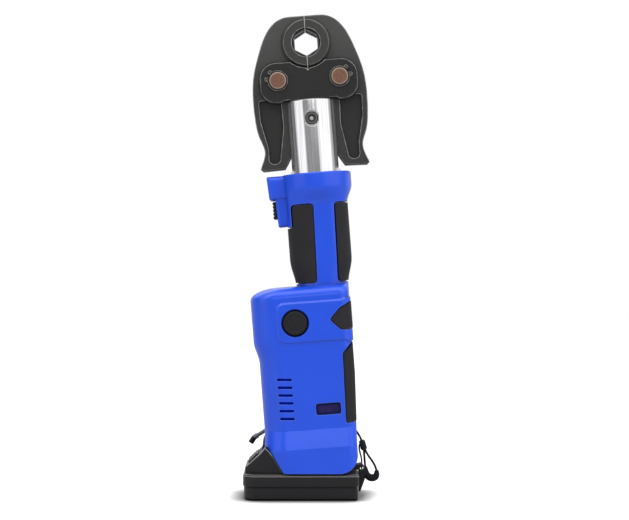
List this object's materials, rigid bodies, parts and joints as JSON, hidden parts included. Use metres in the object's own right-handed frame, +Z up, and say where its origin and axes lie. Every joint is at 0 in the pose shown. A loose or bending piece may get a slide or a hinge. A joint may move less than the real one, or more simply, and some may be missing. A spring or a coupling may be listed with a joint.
{
  "type": "pipe press tool",
  "caption": "Cordless inline pipe press tool: chrome swivel head with scissor jaws and a six-sided press bore, rubbered grip and trigger over a blue body that stands on a slide-in battery.",
  "frame": {"origin": "centre of the battery's flat base, where the tool stands", "axes": "+Z up, +X towards the back of the grip (palm side), -X towards the trigger, -Y towards the side with the release button; the tool axis leans 4.3 degrees from +Z towards -X"},
  "size_m": [0.127, 0.0866, 0.4441],
  "materials": {
    "blue_plastic": "saturated blue glass-filled case, fine satin grain",
    "black_rubber": "charcoal moulded grip rubber",
    "dark_plastic": "black satin plastic",
    "dark_lens": "dark glossy lens",
    "circuit_board": "green lacquered board",
    "polished_chrome": "polished, hard chrome plated",
    "dark_steel": "black phosphated forged steel with bright worn edges",
    "copper_bronze": "copper-brown plated pins and bearing bronze",
    "spring_steel": "dark spring steel",
    "machined_steel": "turned and ground steel",
    "cast_aluminium": "machined aluminium",
    "cell_can": "sleeved lithium cells, at about the density of a cell",
    "strap_cord": "black woven cord and sleeve"
  },
  "bodies": {
    "case": {"left_case_half": "blue_plastic", "right_case_half": "blue_plastic", "indicator_window": "dark_lens", "indicator_board": "circuit_board", "trigger_switch": "dark_plastic", "release_valve": "machined_steel", "button_spring": "spring_steel", "head_bushing": "copper_bronze", "pump_block": "cast_aluminium", "pump_plunger": "machined_steel", "oil_bladder": "black_rubber", "gearbox_case": "cast_aluminium", "motor_can": "machined_steel", "motor_end_bell": "dark_plastic", "control_board": "circuit_board", "left_front_pad": "black_rubber", "right_front_pad": "black_rubber", "left_rear_pad": "black_rubber", "right_rear_pad": "black_rubber", "left_back_pads": "black_rubber", "right_back_pads": "black_rubber", "side_hook": "spring_steel", "case_screws": "spring_steel", "battery_dock": "dark_plastic", "contact_blades": "copper_bronze", "strap_cord": "strap_cord", "strap_slider": "dark_plastic", "strap_sleeve": "strap_cord"},
    "head": {"head_tube": "polished_chrome", "head_ring": "spring_steel", "front_link_plate": "dark_steel", "rear_link_plate": "dark_steel", "left_jaw_pin": "copper_bronze", "right_jaw_pin": "copper_bronze", "pin_clips": "spring_steel", "jaw_spring": "spring_steel", "spring_seat": "machined_steel", "return_spring": "spring_steel"},
    "ram": {"piston": "machined_steel", "piston_seal": "black_rubber", "roller_yoke": "machined_steel", "roller_pins": "machined_steel"},
    "battery": {"battery_tray": "dark_plastic", "battery_cover": "dark_plastic", "battery_cells": "cell_can", "cell_links": "spring_steel", "battery_board": "circuit_board"},
    "left_jaw": {"left_jaw": "dark_steel"},
    "right_jaw": {"right_jaw": "dark_steel"},
    "left_roller": {"left_roller": "machined_steel"},
    "right_roller": {"right_roller": "machined_steel"},
    "retaining_pin": {"retaining_pin": "dark_steel"},
    "trigger": {"trigger": "dark_plastic"},
    "release_button": {"release_button": "dark_plastic"},
    "battery_button": {"battery_button": "dark_plastic"},
    "motor_rotor": {"motor_rotor": "machined_steel"},
    "carrier": {"carrier": "machined_steel"},
    "planet_gear_1": {"planet_gear_1": "machined_steel"},
    "planet_gear_2": {"planet_gear_2": "machined_steel"},
    "planet_gear_3": {"planet_gear_3": "machined_steel"}
  },
  "joints": [
    {"name": "head_swivel", "type": "hinge", "parent": "case", "child": "head", "pos_m": [0.0136, 0, 0.29796], "axis": [-0.075, 0, 0.9972], "range_deg": [-175, 175]},
    {"name": "ram_slide", "type": "slide", "parent": "head", "child": "ram", "axis": [-0.075, 0, 0.9972], "range_m": [-0.034, 0], "deforming": ["return_spring"]},
    {"name": "left_jaw_pivot", "type": "hinge", "parent": "head", "child": "left_jaw", "pos_m": [-0.02133, 0, 0.38238], "axis": [0, 1, 0], "range_deg": [-12, 0], "stiffness_Nm_per_rad": 2, "springref_deg": 11.46, "deforming": ["jaw_spring"]},
    {"name": "right_jaw_pivot", "type": "hinge", "parent": "head", "child": "right_jaw", "pos_m": [0.03551, 0, 0.38665], "axis": [0, 1, 0], "range_deg": [0, 12], "stiffness_Nm_per_rad": 2, "springref_deg": -11.46, "deforming": ["jaw_spring"]},
    {"name": "left_roller_spin", "type": "hinge", "parent": "ram", "child": "left_roller", "pos_m": [0.0041, 0, 0.32954], "axis": [0, 1, 0], "continuous": true},
    {"name": "right_roller_spin", "type": "hinge", "parent": "ram", "child": "right_roller", "pos_m": [0.01826, 0, 0.3306], "axis": [0, 1, 0], "continuous": true},
    {"name": "retaining_pin_pull", "type": "slide", "parent": "head", "child": "retaining_pin", "axis": [0, 1, 0], "range_m": [0, 0.04]},
    {"name": "trigger_pull", "type": "slide", "parent": "case", "child": "trigger", "axis": [0.9972, 0, 0.075], "range_m": [0, 0.0025], "stiffness_N_per_m": 2000, "springref_m": -0.001},
    {"name": "release_button_press", "type": "slide", "parent": "case", "child": "release_button", "axis": [0, 1, 0], "range_m": [0, 0.002], "stiffness_N_per_m": 2500, "springref_m": -0.001, "deforming": ["button_spring"]},
    {"name": "battery_slide", "type": "slide", "parent": "case", "child": "battery", "axis": [-1, 0, 0], "range_m": [0, 0.09]},
    {"name": "battery_button_press", "type": "slide", "parent": "battery", "child": "battery_button", "axis": [0.682, 0, -0.7314], "range_m": [0, 0.0025], "stiffness_N_per_m": 2400, "springref_m": -0.001},
    {"name": "motor_spin", "type": "hinge", "parent": "case", "child": "motor_rotor", "pos_m": [0.00719, 0, 0.11647], "axis": [-0.075, 0, 0.9972], "continuous": true},
    {"name": "carrier_spin", "type": "hinge", "parent": "case", "child": "carrier", "pos_m": [0.00631, 0, 0.12813], "axis": [-0.075, 0, 0.9972], "continuous": true},
    {"name": "planet_1_spin", "type": "hinge", "parent": "carrier", "child": "planet_gear_1", "pos_m": [0.02031, 0, 0.12197], "axis": [-0.075, 0, 0.9972], "continuous": true},
    {"name": "planet_2_spin", "type": "hinge", "parent": "carrier", "child": "planet_gear_2", "pos_m": [0.00012, 0.01169, 0.12045], "axis": [-0.075, 0, 0.9972], "continuous": true},
    {"name": "planet_3_spin", "type": "hinge", "parent": "carrier", "child": "planet_gear_3", "pos_m": [0.00012, -0.01169, 0.12045], "axis": [-0.075, 0, 0.9972], "continuous": true}
  ],
  "couplings": [
    {"joint": "left_jaw_pivot", "follows": "ram_slide", "rad_per_m": 6.1599},
    {"joint": "right_jaw_pivot", "follows": "ram_slide", "rad_per_m": -6.1599},
    {"joint": "carrier_spin", "follows": "motor_spin", "ratio": 0.22222},
    {"joint": "planet_1_spin", "follows": "motor_spin", "ratio": -0.62222},
    {"joint": "planet_2_spin", "follows": "motor_spin", "ratio": -0.62222},
    {"joint": "planet_3_spin", "follows": "motor_spin", "ratio": -0.62222}
  ]
}
